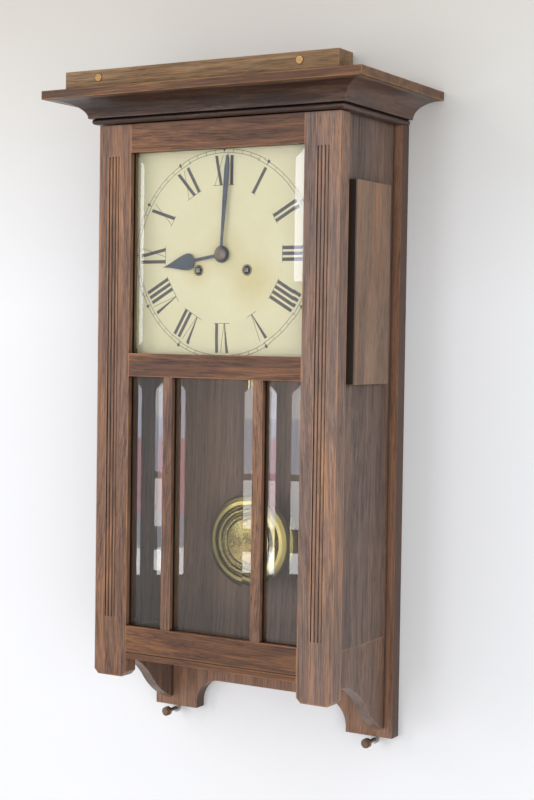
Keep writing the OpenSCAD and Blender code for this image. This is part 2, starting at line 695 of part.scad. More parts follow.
// ---------------------------------------------------------------- motion work
module centre_wheel() at_dial() color("#b8934a") {
    rod(centre, minute_y - hand_t / 2 - 1.6, arbor_y[1], centre_r);
    rod(centre, arbor_y[1], back_face_y - 0.2, pivot_r);
    layer(centre, centre_p, bearing(centre, third_at)) crossed(centre_n, centre_m, 5, 4);
    layer(centre, second_p - [0.4, -0.4], gap_to(centre, second_at, leaf_12)) toothed(leaf_12, second_m);
    rod(centre, in_y + second_p[1] + 0.4, in_y + centre_p[0], 3);
    // cannon pinion with its pipe
    difference() {
        union() {
            facing(0, plate_y - 1, 0) rotate(gap_to(centre, motion_at, cannon_n)) linear_extrude(3.5)
                toothed(cannon_n, motion_m1);
            rod(centre, minute_y + hand_t / 2, plate_y - 4.5, cannon_r);
            rod(centre, minute_y - hand_t / 2, minute_y + hand_t / 2, minute_pipe_r);
        }
        rod(centre, minute_y - 3, plate_y + 1, centre_r);
    }
}
module minute_wheel() at_dial() color("#b8934a") difference() {
    union() {
        facing(motion_at[0], plate_y - 1.8, motion_at[1]) rotate(bearing(motion_at, centre))
            linear_extrude(1.5) crossed(minute_n, motion_m1, 4, 3);
        facing(motion_at[0], plate_y - 3.3, motion_at[1]) rotate(gap_to(motion_at, centre, minute_leaf))
            linear_extrude(6) toothed(minute_leaf, motion_m2);
    }
    rod(motion_at, plate_y - 12, plate_y, 1.2 + run_fit);
}
module hour_wheel() at_dial() color("#b8934a") difference() {
    union() {
        facing(0, plate_y - 6.8, 0) rotate(bearing(centre, motion_at)) linear_extrude(1.4)
            crossed(hour_n, motion_m2, 5, 5.5);
        rod(centre, hour_y + hand_t / 2, plate_y - 6.8, 5);
        rod(centre, hour_y - hand_t / 2, hour_y + hand_t / 2, hour_pipe_r);
    }
    rod(centre, hour_y - 5, plate_y, cannon_r + run_fit);
}

// ---------------------------------------------------------------- movement
module plate_outline() difference() {
    hw = plate_hw;
    polygon(concat(arc([hw - 6, plate_top - 6], 6, 0, 90, 4), arc([6 - hw, plate_top - 6], 6, 90, 180, 4),
        arc([6 - hw, plate_low + 6], 6, 180, 270, 4), arc([hw - 6, plate_low + 6], 6, 270, 360, 4)));
    for (at = train_arbors) translate(at) circle(pivot_r + run_fit);
}
train_arbors = [second_at, third_at, escape_at, strike_second_at, pin_at, lock_at, fly_at];
pillar_x = plate_hw - 7;
pillars = [for (sx = [-1, 1], z = [plate_low + 7, plate_top - 7]) [sx * pillar_x, z]];
barrel_arbor_r = 3;
click_at = [for (at = winding) at + [0, 13.5]];

module front_plate() at_dial() color("#c2a05a") {
    slab(plate_y, in_y) difference() {
        plate_outline();
        for (at = winding) translate(at) circle(barrel_arbor_r + run_fit);
        circle(centre_r + run_fit);
        translate(anchor_at) circle(pivot_r + run_fit);
        translate(hammer_at) circle(pivot_r + run_fit);
        for (at = pillars) translate(at) circle(2);
    }
    rod(motion_at, plate_y - 9, plate_y, 1.2);
    for (at = click_at) rod(at, plate_y - 2.6, plate_y, 1.2);
}

module back_plate() at_dial() color("#c2a05a") {
    slab(rear_y, back_face_y) difference() {
        plate_outline();
        circle(pivot_r + run_fit);
        for (at = winding) translate(at) circle(2 + run_fit);
        translate(anchor_at) circle(2.5);
        translate(hammer_at) circle(arbor_r + run_fit);
    }
    for (at = pillars) {
        rod(at, in_y, rear_y, 4);
        rod(at, plate_y, in_y, 2);
        difference() {
            rod(at, plate_y - 2.5, plate_y, 3.6);
            rod(at, plate_y - 3, plate_y - 1.6, 0.9);
        }
    }
}

// drum, cap and mainspring in one, with the great wheel
module barrel(at, second) difference() {
    union() {
        layer(at, great_p, bearing(at, second)) toothed(great_n, great_m);
        rod(at, in_y + drum_p[0], in_y + drum_p[1], drum_r);
    }
    rod(at, in_y, in_y + drum_p[1] + 1, barrel_arbor_r + run_fit);
}
module time_barrel() at_dial() color("#c2a05a") barrel(time_at, second_at);
module strike_barrel() at_dial() color("#c2a05a") barrel(strike_at, strike_second_at);

square_w = 4.2;
ratchet_n = 18;
ratchet_r = 9;
module ratchet_outline() polygon([for (i = [0:ratchet_n - 1]) for (k = [[0, 1], [0.85, 0.84]])
    let (a = 360 / ratchet_n * (i + k[0])) ratchet_r * k[1] * [cos(a), sin(a)]]);

// an arbor with its ratchet and winding square; the click stands over the ratchet's top
module winding_arbor(at) {
    rod(at, in_y + 0.3, rear_y - 0.3, barrel_arbor_r);
    rod(at, rear_y - 0.3, back_face_y - 0.2, 2);
    rod(at, plate_y - 0.4, in_y + 0.3, barrel_arbor_r);
    facing(at[0], plate_y - 0.4, at[1]) linear_extrude(2) ratchet_outline();
    rod(at, plate_y - 5, plate_y - 2.4, barrel_arbor_r);
    box([at[0] - square_w / 2, dial_y - 1.2, at[1] - square_w / 2],
        [at[0] + square_w / 2, plate_y - 5, at[1] + square_w / 2]);
}
module time_arbor() at_dial() color("#9a9c9f") winding_arbor(time_at);
module strike_arbor() at_dial() color("#9a9c9f") winding_arbor(strike_at);

module click(at) facing(at[0], plate_y - 0.4, at[1]) linear_extrude(2) difference() {
    union() {
        circle(2.6);
        polygon([[-1.6, 2], [-1.2, -2.6], [3.2, -3.9], [6.9, -6.9], [7.9, -5.4], [4.4, -1.2], [1.6, 2]]);
    }
    circle(1.2 + run_fit);
}
module time_click() at_dial() color("#9a9c9f") click(click_at[0]);
module strike_click() at_dial() color("#9a9c9f") click(click_at[1]);

// a train wheel and the pinion that drives or turns it, on one arbor
module train_wheel(at, p, n, m, arms, to, leaf_p, leaf_n, leaf_m, from) {
    arbor(at);
    layer(at, p, bearing(at, to)) difference() {
        crossed(n, m, arms, 3);
        circle(arbor_r);
    }
    layer(at, leaf_p, gap_to(at, from, leaf_n)) difference() {
        toothed(leaf_n, leaf_m);
        circle(arbor_r);
    }
}
module time_second_wheel() at_dial() color("#b8934a")
    train_wheel(second_at, second_p, second_n, second_m, 5, centre,
        great_p - [0.4, -0.4], leaf_12, great_m, time_at);
module third_wheel() at_dial() color("#b8934a")
    train_wheel(third_at, third_p, third_n, third_m, 5, escape_at,
        centre_p - [0.4, -0.4], leaf_8, centre_m, centre);
module strike_second_wheel() at_dial() color("#b8934a")
    train_wheel(strike_second_at, second_p, second_n, strike_m, 4, pin_at,
        great_p - [0.4, -0.4], leaf_12, great_m, strike_at);
module pin_wheel() at_dial() color("#b8934a") {
    train_wheel(pin_at, centre_p, pin_n, strike_m, 4, lock_at,
        second_p - [0.4, -0.4], leaf_8, strike_m, strike_second_at);
    for (i = [0:7]) let (a = 45 * i + 22.5)
        rod(pin_at + lift_r * [cos(a), sin(a)], in_y + lift_p[0], in_y + lift_p[1], 0.7);
}
module locking_wheel() at_dial() color("#b8934a")
    train_wheel(lock_at, lock_p, lock_n, lock_m, 4, fly_at, centre_p - [0.4, -0.4], leaf_8, strike_m, pin_at);

module escape_wheel() at_dial() color("#b8934a") {
    arbor(escape_at);
    layer(escape_at, third_p - [0.4, -0.4], gap_to(escape_at, third_at, leaf_8)) difference() {
        toothed(leaf_8, third_m);
        circle(arbor_r);
    }
    layer(escape_at, escape_p, 0) difference() {
        polygon([for (i = [0:escape_n - 1]) for (k = [[0, 1], [0.35, 0.84], [0.8, 0.84]])
            let (a = 360 / escape_n * (i + k[0])) escape_r * k[1] * [cos(a), sin(a)]]);
        difference() {
            circle(escape_r * 0.84 - 2);
            circle(3.4);
            for (i = [0:3]) rotate(90 * i) translate([0, -0.9]) square([escape_r, 1.8]);
        }
        circle(arbor_r);
    }
}

module fly() at_dial() color("#b8934a") {
    arbor(fly_at);
    layer(fly_at, lock_p - [0.4, -0.4], gap_to(fly_at, lock_at, leaf_8)) difference() {
        toothed(leaf_8, lock_m);
        circle(arbor_r);
    }
    difference() {
        union() {
            box([fly_at[0] - 9, in_y + 17.5, fly_at[1] - 0.4], [fly_at[0] + 9, in_y + 28, fly_at[1] + 0.4]);
            rod(fly_at, in_y + 18.5, in_y + 27, 2);
        }
        rod(fly_at, in_y + 16, in_y + 29, arbor_r);
    }
}

// the anchor: a bridge with two pallets that stand just clear of the escape wheel, and its crutch
anchor_clear = 0.4 * swing_deg;
module anchor() at_dial() color("#8d8f91") {
    rise = anchor_at[1] - escape_at[1];
    layer([0, escape_at[1]], escape_p, 0) difference() {
        polygon(concat(arc([0, 0], escape_r + anchor_clear, 30, 150, 12),
            arc([0, 3.2], escape_r + 2.6, 148, 104, 4), [[-2.2, rise + 2.2], [2.2, rise + 2.2]],
            arc([0, 3.2], escape_r + 2.6, 76, 32, 4)));
        translate([0, rise]) circle(arbor_r);
    }
    rod(anchor_at, arbor_y[0], back_face_y + 1.5, arbor_r);
    rod(anchor_at, in_y - plate_t + 0.2, arbor_y[0], pivot_r);
    rod(anchor_at, back_face_y + 1.5, crutch_y + 2.6, pivot_r);
    slab(crutch_y - 1, crutch_y) difference() {
        union() {
            translate([-1.2, 8]) square([2.4, anchor_at[1] - 8]);
            translate(anchor_at) circle(2.4);
            translate([-4, 6]) square([8, 3]);
        }
        translate(anchor_at) circle(pivot_r);
    }
    for (s = [-1, 1]) box([s * 2.7 - 0.8, crutch_y, 6], [s * 2.7 + 0.8, rod_y + 2, 8]);
}

module suspension_cock() at_dial() color("#c2a05a") {
    screws = [[-11, pivot_z + 8.5], [11, pivot_z + 8.5]];
    // foot, arm and rear bearing of the anchor arbor
    difference() {
        union() {
            box([-16, back_face_y, pivot_z + 5], [16, back_face_y + 3, plate_top - 1]);
            box([-5, back_face_y, pivot_z + 5], [5, rod_y + 7, pivot_z + 11]);
            box([-4, crutch_y + 1.2, pivot_z - 3], [4, crutch_y + 2.8, pivot_z + 6]);
        }
        box([-0.9, rod_y - 3.4, pivot_z + 4], [0.9, rod_y + 3.4, pivot_z + 12]);
        rod([0, pivot_z + 8], rod_y - 5, rod_y + 8, 0.8);
        rod(anchor_at, crutch_y, crutch_y + 4, pivot_r + run_fit);
        for (at = screws) rod(at, back_face_y - 1, back_face_y + 4, 1.5);
    }
    for (at = screws) rod(at, back_face_y, back_face_y + 3.8, 1.45);
    // the spring's upper chop, pinned in the slot
    box([-0.8, rod_y - 3.3, pivot_z + 1], [0.8, rod_y + 3.3, pivot_z + 10]);
    rod([0, pivot_z + 8], rod_y - 5, rod_y - 3.3, 0.75);
    rod([0, pivot_z + 8], rod_y + 3.3, rod_y + 7.6, 0.75);
}

// ---------------------------------------------------------------- strike
hammer_head = [gong_at[0] - gong_r - 5.5, gong_at[1]];
hammer_lean = bearing(hammer_at, hammer_head);
hammer_reach = norm(hammer_head - hammer_at);
module hammer() at_dial() color("#8d8f91") {
    rod(hammer_at, arbor_y[0], hammer_y + 3, arbor_r);
    rod(hammer_at, in_y - plate_t + 0.2, arbor_y[0], pivot_r);
    facing(hammer_at[0], hammer_y + 3, hammer_at[1]) rotate(hammer_lean) linear_extrude(2) difference() {
        union() {
            circle(3);
            translate([0, -1.2]) square([hammer_reach, 2.4]);
        }
        circle(arbor_r);
    }
    rod(hammer_head, hammer_y - 2, gong_y[1] + 1, 4);
    layer(hammer_at, lift_p + [0.4, -0.2], bearing(hammer_at, pin_at)) difference() {
        union() {
            circle(2.6);
            translate([0, -1]) square([norm(pin_at - hammer_at) - lift_r - 1.3, 2]);
        }
        circle(arbor_r);
    }
}

// a flat coil on a post; the gap between turns is even
gong_turns = 3.5;
gong_step = 9;
gong_wire = 2.2;
function coil(r0, r1, turns) = [for (i = [0:24 * turns]) let (t = i / 24)
    (r0 + (r1 - r0) * t / turns) * [cos(360 * t), sin(360 * t)]];
module gong() at_dial() color("#4d5560") {
    r_in = gong_r - gong_turns * gong_step;
    path_out = coil(r_in + gong_wire / 2, gong_r + gong_wire / 2, gong_turns);
    path_in = coil(r_in - gong_wire / 2, gong_r - gong_wire / 2, gong_turns);
    translate([gong_at[0], 0, gong_at[1]]) {
        slab(gong_y[0], gong_y[1]) polygon(concat(path_out, [for (i = [len(path_in) - 1:-1:0]) path_in[i]]));
        box([0, gong_y[0], -2], [r_in - gong_wire / 2 + 0.3, gong_y[1], 2]);
    }
    difference() {
        union() {
            rod(gong_at, gong_y[0] - 2, gong_y[1] + 2, 6);
            rod(gong_at, gong_y[1] + 2, back_y, 9);
        }
        translate([gong_at[0], 0, gong_at[1]]) box([0, gong_y[0], -2], [10, gong_y[1], 2]);
    }
    rod(gong_at, back_y, back_y + 8.8, 2.4);
}

// ---------------------------------------------------------------- pendulum
spring_low = pivot_z - 14;
chop_h = 4;
module suspension_spring() at_dial() color("#9a9c9f") {
    box([-0.1, rod_y - 3, spring_low], [0.1, rod_y + 3, pivot_z + 0.7]);
    box([-0.8, rod_y - 3.3, spring_low - chop_h], [0.8, rod_y + 3.3, spring_low]);
}

module rod_z(x, z0, z1, r) translate([x, rod_y, z0]) cylinder(r = r, h = z1 - z0);
grid_hw = (rod_count - 1) / 2 * rod_step;
grid_low = bob_z - 28;
nut_z = bob_z - bob_r - 0.3;            // top of the rating nut
module pendulum_rods() at_dial() color("#b89b54") {
    // leader from the spring down to the hook
    rod_z(0, hook_z, spring_low - chop_h, 1.7);
    for (i = [0:rod_count - 1]) rod_z(i * rod_step - grid_hw, grid_low + 2, grid_top, rod_r);
    for (bar = [[grid_top, 6], [bob_z + bob_r + 20, 4], [grid_low, 4]])
        box([-grid_hw - 3, rod_y - 2.5, bar[0]], [grid_hw + 3, rod_y + 2.5, bar[0] + bar[1]]);
    rod_z(0, nut_z - 12, grid_low, rod_r);
}

bob_y = rod_y - 2.6;                    // rear face of the bob
// the bob's outline as shares of its radius and thickness, from the middle to the rim
function ridge(r, w, low, high) = [for (a = [180:-20:0])
    [r + w * cos(a), low + (high - low) * sin(a)]];
module pendulum_bob() at_dial() color("#b08d3c") {
    facing(0, bob_y, bob_z) rotate_extrude() polygon([for (p = concat([[0, 0], [0, 0.60], [0.465, 0.60]],
        ridge(0.525, 0.045, 0.62, 0.86), [[0.585, 0.58]], ridge(0.655, 0.055, 0.60, 0.92),
        [[0.725, 0.50], [0.765, 0.50], [0.785, 0.74], [0.86, 0.70], [0.94, 0.52], [0.985, 0.30],
            [1, 0.15], [0.985, 0]])) [p[0] * bob_r, p[1] * bob_t]]);
    // lug on the back that slides on the centre rod
    difference() {
        box([-4, bob_y, nut_z + 0.3], [4, rod_y + 3, grid_low - 4]);
        rod_z(0, nut_z - 1, grid_low, rod_r + run_fit);
    }
}

module rating_nut() at_dial() color("#b08d3c") translate([0, rod_y, nut_z - 6]) difference() {
    cylinder(r = 5, h = 6);
    translate([0, 0, -1]) cylinder(r = rod_r + run_fit, h = 8);
}

back_board();
side_boards();
side_brackets();
case_floor();
frieze_rail();
cornice_board();
cove_front();
cove_sides();
crest_batten();
crest_dowels();
side_blocks();
hanger_plate();
case_screws();
movement_brackets();
catch_clip();
hinge_case_leaves();
dial_plate();
front_plate();
back_plate();
suspension_cock();
gong();
door_stile_left();
door_stile_right();
door_top_rail();
door_middle_rail();
door_bottom_rail();
muntins();
dial_glass();
centre_glass();
side_glasses();
glazing_beads();
hinge_door_leaves();
catch_stud();
stabiliser_screw_left();
stabiliser_screw_right();
minute_hand();
hand_collet();
centre_wheel();
hour_hand();
hour_wheel();
minute_wheel();
time_barrel();
time_second_wheel();
third_wheel();
escape_wheel();
anchor();
time_arbor();
time_click();
strike_barrel();
strike_second_wheel();
pin_wheel();
locking_wheel();
fly();
hammer();
strike_arbor();
strike_click();
suspension_spring();
pendulum_rods();
pendulum_bob();
rating_nut();
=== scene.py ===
"""Looks for the pendulum wall clock: stained oak, bevelled glass, cream dial, brass pendulum."""
import math
import bmesh
import bpy
from mathutils import Matrix, Vector


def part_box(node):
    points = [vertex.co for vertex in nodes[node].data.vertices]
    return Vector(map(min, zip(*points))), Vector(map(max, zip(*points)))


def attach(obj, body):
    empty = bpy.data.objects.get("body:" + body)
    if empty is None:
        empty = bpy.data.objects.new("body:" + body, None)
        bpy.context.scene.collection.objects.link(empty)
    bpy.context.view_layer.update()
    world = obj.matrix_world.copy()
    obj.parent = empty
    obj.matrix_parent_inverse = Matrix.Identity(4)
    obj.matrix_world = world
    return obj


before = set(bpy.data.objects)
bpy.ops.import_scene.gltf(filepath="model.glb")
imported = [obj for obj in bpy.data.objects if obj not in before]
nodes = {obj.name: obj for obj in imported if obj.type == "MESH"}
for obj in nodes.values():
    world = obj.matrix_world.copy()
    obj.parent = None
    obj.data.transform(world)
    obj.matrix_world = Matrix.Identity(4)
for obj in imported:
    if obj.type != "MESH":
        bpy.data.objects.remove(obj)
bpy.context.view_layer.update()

MM = 0.001
dial_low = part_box("dial_plate")[0]
hour_low, hour_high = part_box("hour_wheel")
bob_low, bob_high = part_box("pendulum_bob")
DIAL_X = (hour_low.x + hour_high.x) / 2
DIAL_Z = (hour_low.z + hour_high.z) / 2
RIM = 0.5 * MM                              # how far the rims of the winding holes stand out
DIAL_Y = dial_low.y + RIM
BOB_Z = (bob_low.z + bob_high.z) / 2
BOB_R = (bob_high.z - bob_low.z) / 2
WINDING_OUT, WINDING_DOWN = 29 * MM, 16 * MM
WINDING = [(side * WINDING_OUT, DIAL_Z - WINDING_DOWN) for side in (-1, 1)]

# ------------------------------------------------------------------ camera
TURN, TILT, ROLL = math.radians(30.6), math.radians(2.31), math.radians(0.843)
LENS, SENSOR = 70.8, 36
CAMERA_AT = Vector((0.8555, -1.4757, DIAL_Z - 0.0826))
right = Vector((math.cos(TURN), math.sin(TURN), 0))
ahead = Vector((-math.sin(TURN), math.cos(TURN), 0))
up = Vector((0, 0, 1))
look = ahead * math.cos(TILT) - up * math.sin(TILT)
tall = up * math.cos(TILT) + ahead * math.sin(TILT)
cam_x = right * math.cos(ROLL) + tall * math.sin(ROLL)
cam_y = tall * math.cos(ROLL) - right * math.sin(ROLL)
camera = bpy.data.objects.new("camera", bpy.data.cameras.new("camera"))
camera.data.lens = LENS
camera.data.sensor_width = SENSOR
camera.data.clip_start = 0.05
camera.data.clip_end = 50
camera.matrix_world = Matrix((
    (cam_x.x, cam_y.x, -look.x, CAMERA_AT.x),
    (cam_x.y, cam_y.y, -look.y, CAMERA_AT.y),
    (cam_x.z, cam_y.z, -look.z, CAMERA_AT.z),
    (0, 0, 0, 1)))
bpy.context.collection.objects.link(camera)
scene = bpy.context.scene
scene.camera = camera
scene.view_settings.view_transform = "Standard"
scene.view_settings.look = "None"


# ------------------------------------------------------------------ small makers
def finish_mesh(name, bm, material, body=None):
    """Turns a bmesh into a piece of the clock that rides on a body."""
    bmesh.ops.recalc_face_normals(bm, faces=bm.faces)
    mesh = bpy.data.meshes.new(name)
    bm.to_mesh(mesh)
    bm.free()
    piece = bpy.data.objects.new(name, mesh)
    bpy.context.collection.objects.link(piece)
    mesh.materials.append(material)
    if body:
        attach(piece, body)
    return piece


def prism(bm, outline, front, back):
    """A flat shape given as (x, z) points, closed between two depths."""
    near = [bm.verts.new((x, front, z)) for x, z in outline]
    far = [bm.verts.new((x, back, z)) for x, z in outline]
    bm.faces.new(near)
    bm.faces.new(far[::-1])
    for i in range(len(outline)):
        j = (i + 1) % len(outline)
        bm.faces.new((near[j], near[i], far[i], far[j]))


def ring(bm, centre, profile, steps=96):
    """A turned ring about an axis along Y, from a closed (radius, depth) outline."""
    rows = []
    for i in range(steps):
        a = 2 * math.pi * i / steps
        rows.append([bm.verts.new((centre[0] + r * math.sin(a), y, centre[1] + r * math.cos(a)))
                     for r, y in profile])
    for i in range(steps):
        here, there = rows[i], rows[(i + 1) % steps]
        for k in range(len(profile)):
            m = (k + 1) % len(profile)
            bm.faces.new((here[k], here[m], there[m], there[k]))


# ------------------------------------------------------------------ shader helpers
class Sheet:
    """A node tree with short ways to add nodes and join them."""

    def __init__(self, tree):
        self.tree = tree

    def add(self, kind, inputs=None, **settings):
        node = self.tree.nodes.new(kind)
        for key, value in settings.items():
            setattr(node, key, value)
        for key, value in (inputs or {}).items():
            socket = node.inputs[key]
            if isinstance(value, bpy.types.NodeSocket):
                self.tree.links.new(value, socket)
            else:
                socket.default_value = value
        return node

    def math(self, operation, a, b=0.0, clamp=False):
        return self.add("ShaderNodeMath", {0: a, 1: b}, operation=operation, use_clamp=clamp).outputs[0]

    def mix(self, factor, a, b, blend="MIX"):
        node = self.add("ShaderNodeMix", {0: factor, 6: a, 7: b}, data_type="RGBA", blend_type=blend)
        return node.outputs[2]

    def stretch(self, vector, scale, offset=(0, 0, 0)):
        inputs = {"Vector": vector, "Scale": scale, "Location": offset}
        return self.add("ShaderNodeMapping", inputs).outputs[0]

    def noise(self, vector, scale=1.0, detail=3.0, rough=0.55, distortion=0.0):
        inputs = {"Vector": vector, "Scale": scale, "Detail": detail, "Roughness": rough,
                  "Distortion": distortion}
        return self.add("ShaderNodeTexNoise", inputs).outputs[0]

    def levels(self, value, low, high, to_low=0.0, to_high=1.0, curve="LINEAR"):
        inputs = {"Value": value, "From Min": low, "From Max": high, "To Min": to_low, "To Max": to_high}
        return self.add("ShaderNodeMapRange", inputs, interpolation_type=curve).outputs[0]

    def away(self, place, x, z):
        """Distance from a line along Y through (x, z)."""
        parts = self.add("ShaderNodeSeparateXYZ", {0: place})
        dx = self.math("SUBTRACT", parts.outputs["X"], x)
        dz = self.math("SUBTRACT", parts.outputs["Z"], z)
        squares = self.math("ADD", self.math("MULTIPLY", dx, dx), self.math("MULTIPLY", dz, dz))
        return self.math("SQRT", squares)

    def facing(self, axis):
        """How far the surface looks along X, Y or Z."""
        normal = self.add("ShaderNodeNewGeometry").outputs["Normal"]
        return self.add("ShaderNodeSeparateXYZ", {0: normal}).outputs[axis]

    def bump(self, height, strength, depth, normal=None):
        inputs = {"Strength": strength, "Distance": depth, "Height": height}
        if normal:
            inputs["Normal"] = normal
        return self.add("ShaderNodeBump", inputs).outputs[0]


def new_group(name, inputs, outputs):
    """An empty node group with named sockets: {name: (kind, default)} in, {name: kind} out."""
    group = bpy.data.node_groups.new(name, "ShaderNodeTree")
    for key, (kind, default) in inputs.items():
        socket = group.interface.new_socket(key, in_out="INPUT", socket_type=kind)
        if default is not None:
            socket.default_value = default
    for key, kind in outputs.items():
        group.interface.new_socket(key, in_out="OUTPUT", socket_type=kind)
    sheet = Sheet(group)
    return group, sheet, sheet.add("NodeGroupInput"), sheet.add("NodeGroupOutput")


FLOAT, COLOR, VECTOR = "NodeSocketFloat", "NodeSocketColor", "NodeSocketVector"


def make_oak_grain():
    """Open oak grain that runs along Z of the vector it is given."""
    group, s, given, out = new_group(
        "oak grain",
        {"Vector": (VECTOR, None), "Light": (COLOR, (0.3, 0.15, 0.08, 1)),
         "Dark": (COLOR, (0.1, 0.04, 0.02, 1)), "Pore": (COLOR, (0.03, 0.012, 0.008, 1)),
         "Warm": (COLOR, (0.42, 0.18, 0.07, 1)), "Figure": (FLOAT, 0.5)},
        {"Color": COLOR, "Height": FLOAT, "Dull": FLOAT})
    vector = given.outputs["Vector"]
    sway = s.noise(s.stretch(vector, (7, 7, 2.2)), detail=1)
    aside = s.add("ShaderNodeCombineXYZ", {"X": s.math("MULTIPLY", sway, 0.05),
                                           "Y": s.math("MULTIPLY", sway, 0.05)}).outputs[0]
    bent = s.add("ShaderNodeVectorMath", {0: vector, 1: aside}, operation="ADD").outputs[0]
    broad = s.noise(s.stretch(bent, (38, 38, 3)), detail=3)
    fibre = s.noise(s.stretch(bent, (640, 640, 17)), detail=5, rough=0.72)
    figure = s.noise(s.stretch(bent, (150, 150, 5)), detail=3, distortion=0.3)
    pore = s.levels(s.noise(s.stretch(bent, (1300, 1300, 45)), detail=2), 0.56, 0.70)
    bands = s.levels(figure, 0.40, 0.62)
    tone = s.math("ADD", s.math("MULTIPLY", s.levels(broad, 0.3, 0.7), 0.22),
                  s.math("MULTIPLY", s.levels(fibre, 0.38, 0.64), 0.72))
    drawn = s.math("MULTIPLY", bands, s.math("MULTIPLY", given.outputs["Figure"], 0.4))
    tone = s.math("ADD", tone, drawn, clamp=True)
    color = s.mix(tone, given.outputs["Dark"], given.outputs["Light"])
    faded = s.levels(s.noise(s.stretch(bent, (60, 60, 6), (0.4, 0.2, 0.3)), detail=4, rough=0.6), 0.46, 0.68)
    color = s.mix(s.math("MULTIPLY", s.math("MULTIPLY", faded, tone), 0.7), color, given.outputs["Warm"])
    color = s.mix(s.math("MULTIPLY", pore, s.levels(bands, 0, 1, 0.75, 0.45)), color, given.outputs["Pore"])
    height = s.math("SUBTRACT", s.math("MULTIPLY", fibre, 0.5), pore)
    s.tree.links.new(color, out.inputs["Color"])
    s.tree.links.new(height, out.inputs["Height"])
    dull = s.math("ADD", s.math("MULTIPLY", pore, 0.5), s.math("MULTIPLY", broad, 0.5))
    s.tree.links.new(dull, out.inputs["Dull"])
    return group


def make_edge_wear_and_crease_shade():
    """Rubbed outer corners, painted shade in inner corners and grooves, and a normal with the corners
    softened.
    """
    group, s, given, out = new_group(
        "edge wear and crease shade", {"Vector": (VECTOR, None), "Reach": (FLOAT, 0.0015), "Amount": (FLOAT, 1.0)},
        {"Mask": FLOAT, "Crease shade": FLOAT, "Normal": VECTOR})
    reach = given.outputs["Reach"]
    soft = s.add("ShaderNodeBevel", {"Radius": reach}, samples=4).outputs[0]
    rounded = s.add("ShaderNodeBevel", {"Radius": s.math("MULTIPLY", reach, 0.25)}, samples=4).outputs[0]
    flat = s.add("ShaderNodeNewGeometry").outputs["True Normal"]
    same = s.add("ShaderNodeVectorMath", {0: soft, 1: flat}, operation="DOT_PRODUCT").outputs["Value"]
    corner = s.levels(s.math("SUBTRACT", 1.0, same), 0.02, 0.20)
    open_air = s.add("ShaderNodeAmbientOcclusion", {"Distance": 0.004}, samples=6).outputs["AO"]
    rubbed = s.levels(s.noise(s.stretch(given.outputs["Vector"], (60, 60, 18)), detail=4), 0.40, 0.60)
    uneven = s.math("ADD", s.math("MULTIPLY", rubbed, 0.75), 0.25)
    mask = s.math("MULTIPLY", s.math("MULTIPLY", corner, uneven), given.outputs["Amount"], clamp=True)
    s.tree.links.new(s.math("MULTIPLY", mask, s.levels(open_air, 0.80, 0.97)), out.inputs["Mask"])
    # the crease output is painted shade: where ambient occlusion finds inner corners and grooves, the colour
    # is darkened
    s.tree.links.new(s.levels(open_air, 0.45, 0.92, 1.0, 0.0), out.inputs["Crease shade"])
    s.tree.links.new(rounded, out.inputs["Normal"])
    return group


def make_mottle():
    """Soft cloudy tone with finer specks, for old finishes and tarnish."""
    group, s, given, out = new_group(
        "mottle",
        {"Vector": (VECTOR, None), "Light": (COLOR, (0.8, 0.8, 0.8, 1)),
         "Dark": (COLOR, (0.4, 0.4, 0.4, 1)), "Scale": (FLOAT, 40.0)},
        {"Color": COLOR, "Cloud": FLOAT, "Speck": FLOAT})
    vector, scale = given.outputs["Vector"], given.outputs["Scale"]
    cloud = s.levels(s.noise(vector, scale, 4, 0.6), 0.3, 0.7)
    speck = s.levels(s.noise(vector, s.math("MULTIPLY", scale, 14.0), 2, 0.6), 0.35, 0.7)
    blend = s.math("ADD", s.math("MULTIPLY", cloud, 0.75), s.math("MULTIPLY", speck, 0.25), clamp=True)
    s.tree.links.new(s.mix(blend, given.outputs["Dark"], given.outputs["Light"]), out.inputs["Color"])
    s.tree.links.new(cloud, out.inputs["Cloud"])
    s.tree.links.new(speck, out.inputs["Speck"])
    return group


OAK, WEAR_AND_SHADE, MOTTLE = make_oak_grain(), make_edge_wear_and_crease_shade(), make_mottle()


def start(name):
    """A new material with its sheet, its Principled shader and the coordinates at rest."""
    material = bpy.data.materials.new(name)
    material.use_nodes = True
    material.node_tree.nodes.clear()
    s = Sheet(material.node_tree)
    shader = s.add("ShaderNodeBsdfPrincipled")
    s.add("ShaderNodeOutputMaterial", {"Surface": shader.outputs[0]})
    place = s.add("ShaderNodeTexCoord").outputs["Object"]
    return material, s, shader, place


def join(s, value, socket):
    s.tree.links.new(value, socket)


def use(s, group, vector, **values):
    """A node group on that vector, with its other inputs set."""
    return s.add("ShaderNodeGroup", {"Vector": vector, **values}, node_tree=group)


def show(s, surface):
    """Puts a mixed shader on the material's output in place of the Principled one."""
    output = next(node for node in s.tree.nodes if node.type == "OUTPUT_MATERIAL")
    join(s, surface, output.inputs["Surface"])


GRAIN_TURN = {"Z": (0, 0, 0), "X": (0, math.pi / 2, 0), "Y": (math.pi / 2, 0, 0)}


